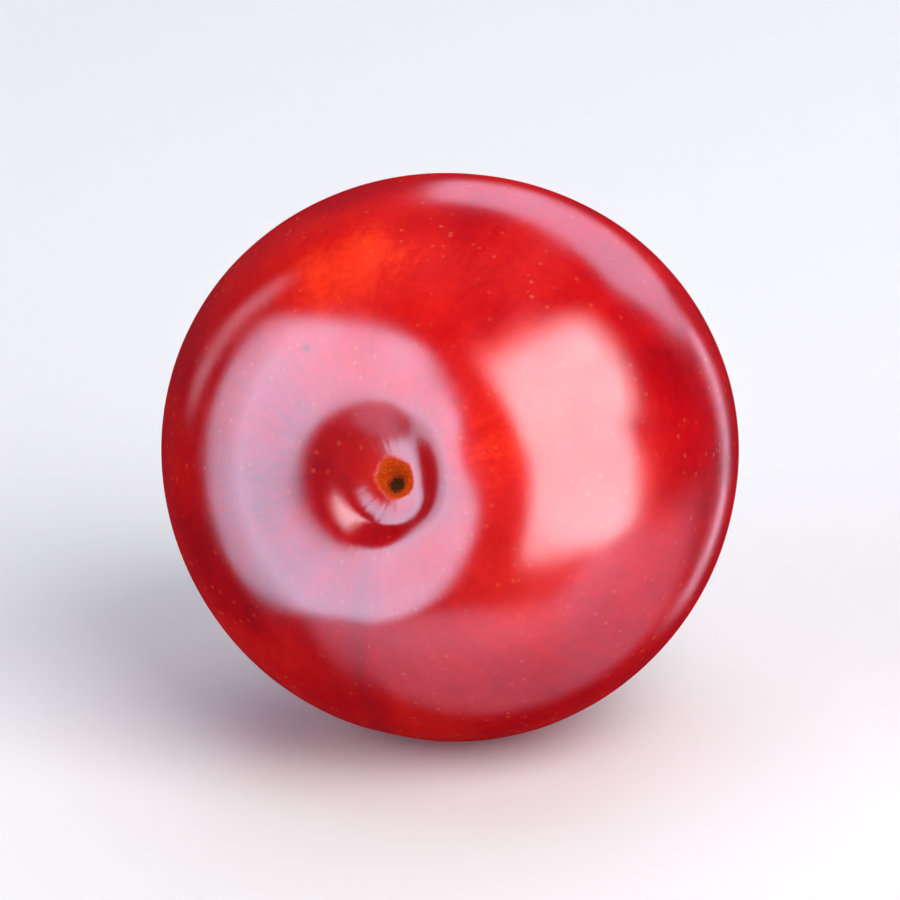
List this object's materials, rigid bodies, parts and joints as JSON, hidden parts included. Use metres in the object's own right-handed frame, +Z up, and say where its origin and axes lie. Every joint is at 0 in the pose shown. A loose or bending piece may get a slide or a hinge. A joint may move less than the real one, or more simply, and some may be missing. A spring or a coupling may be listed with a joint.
{
  "type": "plum",
  "caption": "Ripe round red plum lying on its side, with a stem cavity and scar at one end, a faint suture and a blunt blossom end.",
  "frame": {"origin": "on the surface the fruit lies on, under the middle of its box", "axes": "+Z up; the stem end faces -Y, turned 18 degrees towards -X and raised 15.2 degrees; +X to the right seen from the front"},
  "size_m": [0.0524, 0.0524, 0.0512],
  "materials": {
    "skin": "gloss"
  },
  "bodies": {
    "root": {"plum": "skin"}
  },
  "joints": []
}
